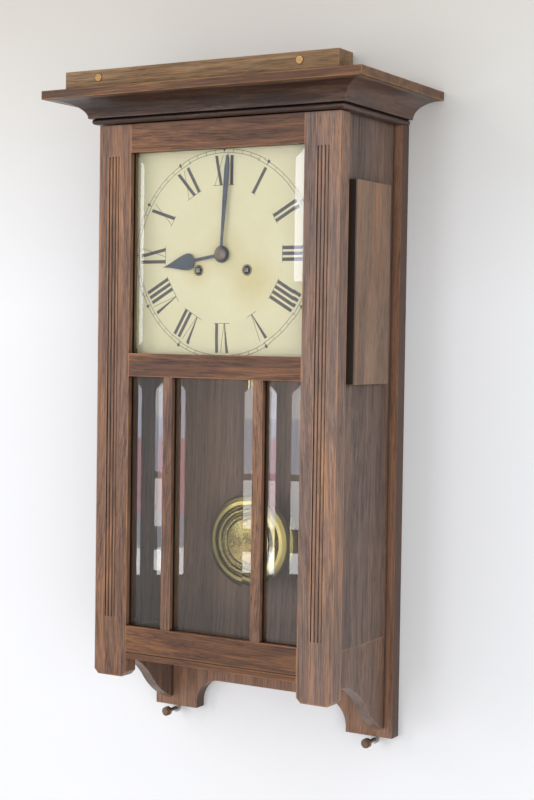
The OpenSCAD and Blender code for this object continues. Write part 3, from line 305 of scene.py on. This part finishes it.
def wood(name, along, light, dark, worn, rough=(0.30, 0.55), wear=1.0, figure=0.5,
         shift=(0, 0, 0), reach=0.0024, pore=None, side_shade=None):
    """Stained oak with its grain along X, Y or Z; a colour given for painted shade darkens what looks along
    X.
    """
    material, s, shader, place = start(name)
    grain_way = s.add("ShaderNodeMapping",
                      {"Vector": place, "Rotation": GRAIN_TURN[along], "Location": shift}).outputs[0]
    pore_color = pore or [c * 0.35 for c in dark]
    warm = [0.35 * a + 0.65 * b for a, b in zip(light, worn)]
    # colour of the painted shade in inner corners and grooves: a darker copy of the stain
    crease_shade = [c * 0.3 for c in dark]
    oak = use(s, OAK, grain_way, Light=(*light, 1), Dark=(*dark, 1), Pore=(*pore_color, 1),
              Warm=(*warm, 1), Figure=figure)
    edge = use(s, WEAR_AND_SHADE, grain_way, Reach=reach, Amount=wear)
    color = s.mix(edge.outputs["Mask"], oak.outputs["Color"], (*worn, 1))
    # painted shade: inner corners and grooves are mixed toward that darker colour
    color = s.mix(s.math("MULTIPLY", edge.outputs["Crease shade"], 0.75), color, (*crease_shade, 1))
    if side_shade:
        # painted shade: faces that look along X are darkened by this colour
        across = s.math("ABSOLUTE", s.facing("X"))
        color = s.mix(s.levels(across, 0.5, 0.8), color, (*side_shade, 1), "MULTIPLY")
    join(s, color, shader.inputs["Base Color"])
    shader.inputs["Specular IOR Level"].default_value = 0.4
    join(s, s.levels(oak.outputs["Dull"], 0, 1, *rough), shader.inputs["Roughness"])
    rise = s.bump(oak.outputs["Height"], 0.35, 0.0004, edge.outputs["Normal"])
    join(s, rise, shader.inputs["Normal"])
    return material


def metal(name, light, dark, rough=(0.2, 0.4), scale=60.0, reach=0.0003, stretch=(1, 1, 1), bump=0.1):
    """Worked metal with tarnish; the coordinates can be stretched to give a drawn finish."""
    material, s, shader, place = start(name)
    tone = use(s, MOTTLE, s.stretch(place, stretch), Light=(*light, 1), Dark=(*dark, 1), Scale=scale)
    edge = use(s, WEAR_AND_SHADE, place, Reach=reach, Amount=0.5)
    bright = [min(1, c * 1.35) for c in light]
    join(s, s.mix(edge.outputs["Mask"], tone.outputs["Color"], (*bright, 1)), shader.inputs["Base Color"])
    join(s, s.levels(tone.outputs["Cloud"], 0, 1, rough[1], rough[0]), shader.inputs["Roughness"])
    shader.inputs["Metallic"].default_value = 1.0
    rise = s.bump(tone.outputs["Speck"], bump, 0.0002, edge.outputs["Normal"])
    join(s, rise, shader.inputs["Normal"])
    return material


# ------------------------------------------------------------------ finishes
STAIN_LIGHT, STAIN_DARK, RUBBED = (0.265, 0.132, 0.072), (0.042, 0.023, 0.017), (0.60, 0.27, 0.10)
oak_stile = wood("oak stile", "Z", STAIN_LIGHT, STAIN_DARK, RUBBED)
# painted sheen: the right stile is a paler, greyer copy of the stile stain, standing in for the light's sheen
# on it
oak_stile_right_sheen = wood("oak right stile with painted sheen", "Z", (0.290, 0.172, 0.118), (0.070, 0.048, 0.040), RUBBED,
                       shift=(0.31, 0.1, 0.2))
# the rails are a darker, redder copy of the stile stain; part of that darkening is painted shade, for the top
# rail lying under the cornice
oak_rail_shaded = wood("oak rail with painted shade", "X", (0.172, 0.068, 0.025), (0.030, 0.011, 0.005), (0.50, 0.21, 0.07),
                shift=(0.1, 0, 0.4))
oak_muntin = wood("oak muntin", "Z", STAIN_LIGHT, STAIN_DARK, RUBBED, shift=(0.5, 0.2, 0.1), reach=0.0009)
oak_side = wood("oak side", "Z", (0.175, 0.116, 0.092), (0.042, 0.026, 0.020), (0.32, 0.18, 0.105),
                rough=(0.36, 0.6), figure=0.9)
oak_bracket = wood("oak bracket", "Z", (0.195, 0.122, 0.092), (0.070, 0.040, 0.029), (0.36, 0.19, 0.10),
                   shift=(0.2, 0.05, 0.3))
# the back board's side edges get painted shade
oak_back = wood("oak back", "Z", (0.31, 0.165, 0.098), (0.150, 0.072, 0.042), (0.34, 0.18, 0.10),
                shift=(0.7, 0.1, 0.6), figure=1.0, wear=0.5, side_shade=(0.30, 0.26, 0.26))
oak_inside = wood("oak inside", "X", (0.21, 0.115, 0.07), (0.105, 0.052, 0.031), (0.3, 0.17, 0.1), wear=0.4)
oak_cornice = wood("oak cornice", "X", (0.132, 0.048, 0.011), (0.032, 0.010, 0.003), (0.46, 0.22, 0.06),
                   shift=(0.2, 0.6, 0.1))
oak_cove = wood("oak cove", "X", (0.052, 0.021, 0.010), (0.015, 0.006, 0.004), (0.30, 0.17, 0.10),
                rough=(0.26, 0.45), wear=0.5, shift=(0.9, 0.2, 0.3))
oak_cove_side = wood("oak cove side", "Y", (0.115, 0.062, 0.044), (0.050, 0.026, 0.020), (0.28, 0.16, 0.10),
                     rough=(0.28, 0.48), wear=0.5)
crest_wood = wood("crest wood", "X", (0.28, 0.152, 0.056), (0.085, 0.044, 0.017), (0.44, 0.30, 0.18),
                  rough=(0.55, 0.8), wear=0.5, shift=(0.35, 0.8, 0.2))
bead_wood = wood("bead wood", "Z", (0.17, 0.09, 0.05), (0.08, 0.04, 0.024), (0.25, 0.14, 0.08),
                 wear=0.3, shift=(0.15, 0.7, 0.9))
dowel_wood = wood("dowel wood", "Y", (0.66, 0.38, 0.13), (0.26, 0.13, 0.04), (0.72, 0.46, 0.2),
                  rough=(0.6, 0.8), wear=0.3, pore=(0.12, 0.06, 0.02))


def make_block_wood():
    """Veneer of a side block: soft cloudy brown, with the edge that looks forward very dark."""
    material, s, shader, place = start("block wood")
    oak = use(s, OAK, s.stretch(place, (1, 0.6, 0.8), (0.4, 0.3, 0.1)), Light=(0.29, 0.175, 0.105, 1),
              Dark=(0.16, 0.092, 0.056, 1), Pore=(0.09, 0.05, 0.03, 1), Figure=1.0)
    cloud = use(s, MOTTLE, s.stretch(place, (1, 1, 0.45)), Light=(1.0, 1.0, 1.0, 1),
                Dark=(0.62, 0.60, 0.60, 1), Scale=26)
    face = s.mix(0.8, oak.outputs["Color"], cloud.outputs["Color"], "MULTIPLY")
    front = s.levels(s.math("MULTIPLY", s.facing("Y"), -1.0), 0.5, 0.8)
    edge = use(s, WEAR_AND_SHADE, place, Amount=0.6)
    color = s.mix(front, face, (0.028, 0.018, 0.013, 1))
    color = s.mix(edge.outputs["Mask"], color, (0.34, 0.2, 0.11, 1))
    join(s, color, shader.inputs["Base Color"])
    join(s, s.levels(cloud.outputs["Cloud"], 0, 1, 0.55, 0.38), shader.inputs["Roughness"])
    rise = s.bump(oak.outputs["Height"], 0.25, 0.0003, edge.outputs["Normal"])
    join(s, rise, shader.inputs["Normal"])
    return material


# browned patches of the dial paint: across and up from its middle, inner and outer radius, strength
STAINS = [(0.037, -0.026, 0.002, 0.040, 0.85), (-0.031, -0.014, 0.002, 0.026, 0.7),
          (0.002, 0.004, 0.004, 0.034, 0.6)]


def make_dial_paint():
    """Cream paint, yellowed in clouds and browner round the winding holes and the hands."""
    material, s, shader, place = start("dial paint")
    tone = use(s, MOTTLE, place, Light=(0.665, 0.570, 0.350, 1), Dark=(0.600, 0.505, 0.290, 1), Scale=14)
    stain = 0.0
    for across, up_by, inner, outer, strength in STAINS:
        patch = s.levels(s.away(place, across, DIAL_Z + up_by), inner, outer, 1.0, 0.0, "SMOOTHSTEP")
        stain = s.math("ADD", stain, s.math("MULTIPLY", patch, strength))
    uneven = s.levels(s.noise(place, 55, 4, 0.65), 0.30, 0.70)
    stain = s.math("MULTIPLY", stain, s.levels(uneven, 0, 1, 0.45, 1.0), clamp=True)
    color = s.mix(stain, tone.outputs["Color"], (0.50, 0.37, 0.13, 1))
    fleck = s.levels(s.noise(place, 420, 2, 0.5), 0.74, 0.80)
    color = s.mix(s.math("MULTIPLY", fleck, 0.35), color, (0.36, 0.27, 0.12, 1))
    join(s, color, shader.inputs["Base Color"])
    join(s, s.levels(tone.outputs["Speck"], 0, 1, 0.38, 0.52), shader.inputs["Roughness"])
    return material


def make_ink(name, dark, light):
    """Printed ink that has thinned in places."""
    material, s, shader, place = start(name)
    tone = use(s, MOTTLE, place, Light=(*light, 1), Dark=(*dark, 1), Scale=120)
    join(s, tone.outputs["Color"], shader.inputs["Base Color"])
    join(s, s.levels(tone.outputs["Speck"], 0, 1, 0.4, 0.55), shader.inputs["Roughness"])
    return material


def make_glass():
    """Clear plate glass that lets the light through to the dial behind it."""
    material, s, shader, place = start("bevelled glass")
    shader.inputs["Base Color"].default_value = (0.94, 0.98, 0.97, 1)
    shader.inputs["Transmission Weight"].default_value = 1.0
    shader.inputs["IOR"].default_value = 1.5
    smear = s.levels(s.noise(s.stretch(place, (1, 1, 0.5)), 18, 4, 0.6), 0.45, 0.75, 0.0, 0.035)
    join(s, smear, shader.inputs["Roughness"])
    shadow = s.add("ShaderNodeLightPath").outputs["Is Shadow Ray"]
    clear = s.add("ShaderNodeBsdfTransparent", {"Color": (0.95, 0.97, 0.97, 1)}).outputs[0]
    show(s, s.add("ShaderNodeMixShader", {0: shadow, 1: shader.outputs[0], 2: clear}).outputs[0])
    return material


# shares of the bob's radius: the dark step starts and is full, then fades out as the rim begins
STEP_START, STEP_FULL, RIM_START, RIM_FULL = 0.71, 0.73, 0.765, 0.785


def make_bob_brass():
    """Spun brass: bright and turned in the middle, a dark step, and a grainy, matt wide rim."""
    material, s, shader, place = start("bob brass")
    share = s.math("DIVIDE", s.away(place, 0, BOB_Z), BOB_R)
    tone = use(s, MOTTLE, place, Light=(0.50, 0.385, 0.150, 1), Dark=(0.36, 0.270, 0.090, 1), Scale=70)
    rim = s.levels(share, RIM_START, RIM_FULL)
    step = s.math("MULTIPLY", s.levels(share, STEP_START, STEP_FULL), s.levels(share, RIM_FULL, RIM_START))
    grain = s.levels(s.noise(place, 1300, 2, 0.6), 0.3, 0.7)
    rim_color = s.mix(grain, (0.46, 0.33, 0.09, 1), (0.78, 0.60, 0.22, 1))
    color = s.mix(rim, tone.outputs["Color"], rim_color)
    color = s.mix(s.math("MULTIPLY", step, 0.85), color, (0.10, 0.07, 0.02, 1))
    join(s, color, shader.inputs["Base Color"])
    shader.inputs["Metallic"].default_value = 1.0
    rough = s.levels(rim, 0, 1, 0.24, 0.46)
    join(s, s.math("ADD", rough, s.math("MULTIPLY", tone.outputs["Speck"], 0.06)), shader.inputs["Roughness"])
    join(s, s.bump(s.math("MULTIPLY", grain, rim), 0.35, 0.0002), shader.inputs["Normal"])
    shader.inputs["Anisotropic"].default_value = 0.6
    turned = s.add("ShaderNodeTangent", direction_type="RADIAL", axis="Y").outputs[0]
    join(s, turned, shader.inputs["Tangent"])
    return material


block_wood = make_block_wood()
dial_paint = make_dial_paint()
ink = make_ink("numeral ink", (0.034, 0.024, 0.018), (0.066, 0.048, 0.036))
faded_ink = make_ink("faded ink", (0.050, 0.040, 0.027), (0.140, 0.112, 0.072))
bevelled_glass = make_glass()
bob_brass = make_bob_brass()
blued_steel = metal("blued steel", (0.085, 0.092, 0.105), (0.042, 0.043, 0.050), (0.26, 0.40), 90, bump=0.05)
bronze = metal("bronze", (0.20, 0.150, 0.118), (0.095, 0.068, 0.052), (0.26, 0.46), 160)
grommet_bronze = metal("grommet bronze", (0.16, 0.125, 0.085), (0.075, 0.055, 0.04), (0.3, 0.5), 200)
plate_brass = metal("plate brass", (0.78, 0.60, 0.30), (0.55, 0.40, 0.17), (0.24, 0.42), 45,
                    stretch=(1, 1, 0.3))
wheel_brass = metal("wheel brass", (0.84, 0.66, 0.34), (0.62, 0.46, 0.20), (0.18, 0.34), 80)
old_brass = metal("old brass", (0.42, 0.30, 0.15), (0.22, 0.145, 0.075), (0.36, 0.56), 90)
screw_brass = metal("screw brass", (0.27, 0.19, 0.13), (0.13, 0.085, 0.06), (0.34, 0.6), 120)
grey_steel = metal("grey steel", (0.62, 0.62, 0.63), (0.38, 0.38, 0.40), (0.24, 0.42), 70)
arbor_steel = metal("arbor steel", (0.26, 0.24, 0.22), (0.12, 0.105, 0.09), (0.36, 0.6), 90)
gong_steel = metal("gong steel", (0.16, 0.19, 0.26), (0.07, 0.08, 0.12), (0.22, 0.4), 60)
rod_brass = metal("rod brass", (0.86, 0.73, 0.42), (0.58, 0.46, 0.22), (0.2, 0.36), 90, stretch=(1, 1, 0.15))

FINISH = {
    oak_stile: ["door_stile_left"],
    oak_stile_right_sheen: ["door_stile_right"],
    oak_rail_shaded: ["door_top_rail", "door_middle_rail", "door_bottom_rail"],
    oak_muntin: ["muntins"],
    oak_side: ["side_boards"],
    oak_bracket: ["side_brackets"],
    oak_back: ["back_board"],
    oak_inside: ["case_floor", "frieze_rail"],
    oak_cornice: ["cornice_board"],
    oak_cove: ["cove_front"],
    oak_cove_side: ["cove_sides"],
    crest_wood: ["crest_batten"],
    dowel_wood: ["crest_dowels"],
    block_wood: ["side_blocks"],
    bead_wood: ["glazing_beads"],
    bevelled_glass: ["dial_glass", "centre_glass", "side_glasses"],
    dial_paint: ["dial_plate"],
    blued_steel: ["minute_hand", "hour_hand"],
    bronze: ["hand_collet"],
    plate_brass: ["front_plate", "back_plate", "suspension_cock"],
    old_brass: ["hanger_plate", "hinge_case_leaves", "hinge_door_leaves", "catch_clip", "catch_stud"],
    wheel_brass: ["centre_wheel", "hour_wheel", "minute_wheel", "time_barrel", "time_second_wheel",
                  "third_wheel", "escape_wheel", "strike_barrel", "strike_second_wheel", "pin_wheel",
                  "locking_wheel", "fly"],
    arbor_steel: ["time_arbor", "strike_arbor"],
    grey_steel: ["anchor", "time_click", "strike_click", "hammer", "case_screws",
                 "movement_brackets", "suspension_spring"],
    gong_steel: ["gong"],
    screw_brass: ["stabiliser_screw_left", "stabiliser_screw_right"],
    rod_brass: ["pendulum_rods", "rating_nut"],
    bob_brass: ["pendulum_bob"],
}
for material, names in FINISH.items():
    for name in names:
        slots = nodes[name].data.materials
        slots.clear()
        slots.append(material)

# ------------------------------------------------------------------ dial print
PRINT_FRONT, PRINT_BACK = DIAL_Y - 0.05 * MM, DIAL_Y - 0.005 * MM

# radii from the dial's middle and widths of the print, in millimetres
NUMERAL_IN, NUMERAL_OUT = 70.0, 99.0
TRACK_IN, TRACK_OUT = 101.9, 105.4
TICK_IN, TICK_OUT = 102.2, 105.1
FOOT_IN, FOOT_PROUD = NUMERAL_IN - 0.3, 2.6
STROKE, HAIR, PITCH = 3.5, 0.55, 5.8
GAP = PITCH - STROKE
WIDTHS = {"I": STROKE, "V": 10.0, "X": 11.0}

# foot and head of each stroke, to the side of its letter's middle
V_THICK, V_THIN = (-0.6, -3.3), (0.2, 4.4)
X_THICK, X_THIN = (3.0, -3.2), (-4.6, 4.6)

# outline of a five-minute mark: to the side of its ray, and radius
FIVE_MINUTE_MARK = [(0, 102.8), (1.6, 105.2), (1.2, 107.3), (-1.2, 107.3), (-1.6, 105.2)]

# section of a bronze grommet: radius, and depth behind the dial plate's frontmost edge
GROMMET_SECTION = [(4.65, 1.2), (4.65, 0.1), (5.0, -0.12), (5.5, -0.10), (5.88, 0.15),
                   (5.88, 0.45), (5.4, 0.45), (5.0, 0.3), (4.72, 1.2)]

HOURS = ["XII", "I", "II", "III", "IIII", "V", "VI", "VII", "VIII", "IX", "X", "XI"]


def on_dial(u, r, turn):
    """A point u to the clockwise side of the ray at that turn, r out from the dial's middle, in metres."""
    a = math.radians(turn)
    return (DIAL_X + (r * math.sin(a) + u * math.cos(a)) * MM,
            DIAL_Z + (r * math.cos(a) - u * math.sin(a)) * MM)


def stroke(bm, turn, inner_u, outer_u, width, inner_r=NUMERAL_IN, outer_r=NUMERAL_OUT):
    """A straight stroke with its ends cut level, from the inner end to the outer end."""
    h = width / 2
    prism(bm, [on_dial(inner_u - h, inner_r, turn), on_dial(outer_u - h, outer_r, turn),
               on_dial(outer_u + h, outer_r, turn), on_dial(inner_u + h, inner_r, turn)],
          PRINT_FRONT, PRINT_BACK)


def taper(bm, turn, tip_u, outer_u, width):
    """A thick stroke that closes to a point at its inner end."""
    h = width / 2
    prism(bm, [on_dial(tip_u, NUMERAL_IN, turn), on_dial(outer_u - h, NUMERAL_OUT, turn),
               on_dial(outer_u + h, NUMERAL_OUT, turn), on_dial(tip_u + width * 0.22, NUMERAL_IN, turn)],
          PRINT_FRONT, PRINT_BACK)


def numeral(bold, thin, text, turn):
    """A Roman numeral with its foot towards the middle of the dial."""
    total = sum(WIDTHS[c] for c in text) + GAP * (len(text) - 1)
    u = -total / 2
    for c in text:
        mid = u + WIDTHS[c] / 2
        if c == "I":
            stroke(bold, turn, mid, mid, STROKE)
        elif c == "V":
            taper(bold, turn, mid + V_THICK[0], mid + V_THICK[1], STROKE)
            stroke(thin, turn, mid + V_THIN[0], mid + V_THIN[1], HAIR)
        else:
            stroke(bold, turn, mid + X_THICK[0], mid + X_THICK[1], STROKE)
            stroke(thin, turn, mid + X_THIN[0], mid + X_THIN[1], HAIR)
        u += WIDTHS[c] + GAP
    stroke(thin, turn, 0, 0, total + FOOT_PROUD, FOOT_IN, FOOT_IN + HAIR)


bold, thin = bmesh.new(), bmesh.new()
for hour, text in enumerate(HOURS):
    numeral(bold, thin, text, hour * 30)
    prism(bold, [on_dial(u, r, hour * 30) for u, r in FIVE_MINUTE_MARK], PRINT_FRONT, PRINT_BACK)
for r in (TRACK_IN, TRACK_OUT):
    inner, outer = (r - HAIR / 2) * MM, (r + HAIR / 2) * MM
    line = [(inner, PRINT_BACK), (inner, PRINT_FRONT), (outer, PRINT_FRONT), (outer, PRINT_BACK)]
    ring(thin, (DIAL_X, DIAL_Z), line, 180)
for minute in range(60):
    stroke(thin, minute * 6, 0, 0, HAIR, TICK_IN, TICK_OUT)
finish_mesh("dial_numerals", bold, ink, "case")
finish_mesh("dial_minute_track", thin, faded_ink, "case")

# bronze grommets pressed into the winding holes
for side, at in zip(("left", "right"), WINDING):
    bm = bmesh.new()
    ring(bm, at, [(r * MM, dial_low.y + depth * MM) for r, depth in GROMMET_SECTION], 48)
    finish_mesh("winding_grommet_" + side, bm, grommet_bronze, "case")

# ------------------------------------------------------------------ wall and light
WALL_SIDE, WALL_LOW, WALL_HIGH = 6, -4, 5
WALL_Y = 0.0006
SHADE_LOW, SHADE_HIGH = -0.25, 0.15         # heights between which painted shade turns the wall from pale to grey


def make_wall_paint():
    """Pale matt wall, with painted shade that greys it towards the top. It is clear from behind and to soft
    light and shadows, so that the back of the clock shows and is lit."""
    material, s, shader, place = start("wall paint")
    tone = use(s, MOTTLE, place, Light=(0.87, 0.87, 0.865, 1), Dark=(0.855, 0.855, 0.85, 1), Scale=3)
    # painted shade: above SHADE_LOW the wall is mixed toward grey, standing in for weaker light near the top
    high = s.levels(s.add("ShaderNodeSeparateXYZ", {0: place}).outputs["Z"], SHADE_LOW, SHADE_HIGH)
    join(s, s.mix(high, tone.outputs["Color"], (0.62, 0.585, 0.51, 1)), shader.inputs["Base Color"])
    shader.inputs["Roughness"].default_value = 0.9
    shader.inputs["Specular IOR Level"].default_value = 0.1
    path = s.add("ShaderNodeLightPath")
    soft = s.math("MAXIMUM", path.outputs["Is Diffuse Ray"], path.outputs["Is Shadow Ray"])
    behind = s.math("MAXIMUM", s.add("ShaderNodeNewGeometry").outputs["Backfacing"], soft)
    clear = s.add("ShaderNodeBsdfTransparent").outputs[0]
    show(s, s.add("ShaderNodeMixShader", {0: behind, 1: shader.outputs[0], 2: clear}).outputs[0])
    return material


wall = bmesh.new()
wall.faces.new([wall.verts.new((x, WALL_Y, z)) for x, z in (
    (-WALL_SIDE, WALL_LOW), (WALL_SIDE, WALL_LOW), (WALL_SIDE, WALL_HIGH), (-WALL_SIDE, WALL_HIGH))])
wall_mesh = bpy.data.meshes.new("wall")
wall.to_mesh(wall_mesh)
wall.free()
wall_object = bpy.data.objects.new("wall", wall_mesh)
bpy.context.collection.objects.link(wall_object)
wall_mesh.materials.append(make_wall_paint())


def area(name, place, aim, width, height, watts, color=(1, 1, 1)):
    """A flat rectangular light that shines from one place towards another."""
    light = bpy.data.lights.new(name, "AREA")
    light.shape = "RECTANGLE"
    light.size, light.size_y = width, height
    light.energy = watts
    light.color = color
    lamp = bpy.data.objects.new(name, light)
    bpy.context.collection.objects.link(lamp)
    lamp.location = place
    lamp.rotation_mode = "QUATERNION"
    lamp.rotation_quaternion = (Vector(aim) - Vector(place)).to_track_quat("-Z", "Y")


area("key", place=(-2.7, -1.7, 0.9), aim=(0, 0, -0.35), width=1.8, height=2.0, watts=18,
     color=(1.0, 0.98, 0.95))
area("fill", place=(2.2, -2.2, -0.6), aim=(0.05, -0.1, -0.35), width=1.6, height=2.0, watts=27,
     color=(0.94, 0.96, 1.0))
area("top strip", place=(-1.55, -2.62, 1.085), aim=(-0.02, -0.12, 0.1), width=1.1, height=0.03, watts=2.6)

# columns of narrow lights that the glass bevels mirror. For each column: its side, place in x and y,
# and width. For each light in it: low edge, high edge, brightness and colour.
WHITE, BLUE, LILAC = (1, 0.99, 0.98), (0.66, 0.72, 0.86), (0.78, 0.78, 0.95)
PINK, GREEN, PALE_BLUE = (0.95, 0.42, 0.50), (0.50, 0.66, 0.48), (0.82, 0.88, 0.98)
GLASS_Y = -0.12
STEPS = {
    ("left", -2.25, -2.12, 0.5): [
        (-0.34, 0.26, 6, PALE_BLUE), (-0.58, -0.36, 6, LILAC), (-0.80, -0.58, 5, PINK),
        (-0.90, -0.80, 4, BLUE), (-0.98, -0.90, 9, WHITE)],
    ("right", -0.83, -3.0, 0.62): [
        (-0.12, 0.30, 9, LILAC), (-0.42, -0.34, 4, GREEN), (-0.52, -0.42, 6, WHITE),
        (-0.68, -0.52, 5, BLUE), (-0.84, -0.70, 7, WHITE), (-0.97, -0.91, 9, WHITE)],
}
for (side, x, y, width), steps in STEPS.items():
    for number, (low, high, bright, color) in enumerate(steps):
        middle = (low + high) / 2
        height = high - low
        area("%s step %d" % (side, number), (x, y, middle), (0, GLASS_Y, middle), width, height,
             bright * math.pi * width * height, color)

ROOM_COLOR, ROOM_STRENGTH = (0.90, 0.91, 0.93, 1), 0.81
world = bpy.data.worlds.new("room")
scene.world = world
world.use_nodes = True
backdrop = world.node_tree.nodes["Background"]
backdrop.inputs["Color"].default_value = ROOM_COLOR
backdrop.inputs["Strength"].default_value = ROOM_STRENGTH
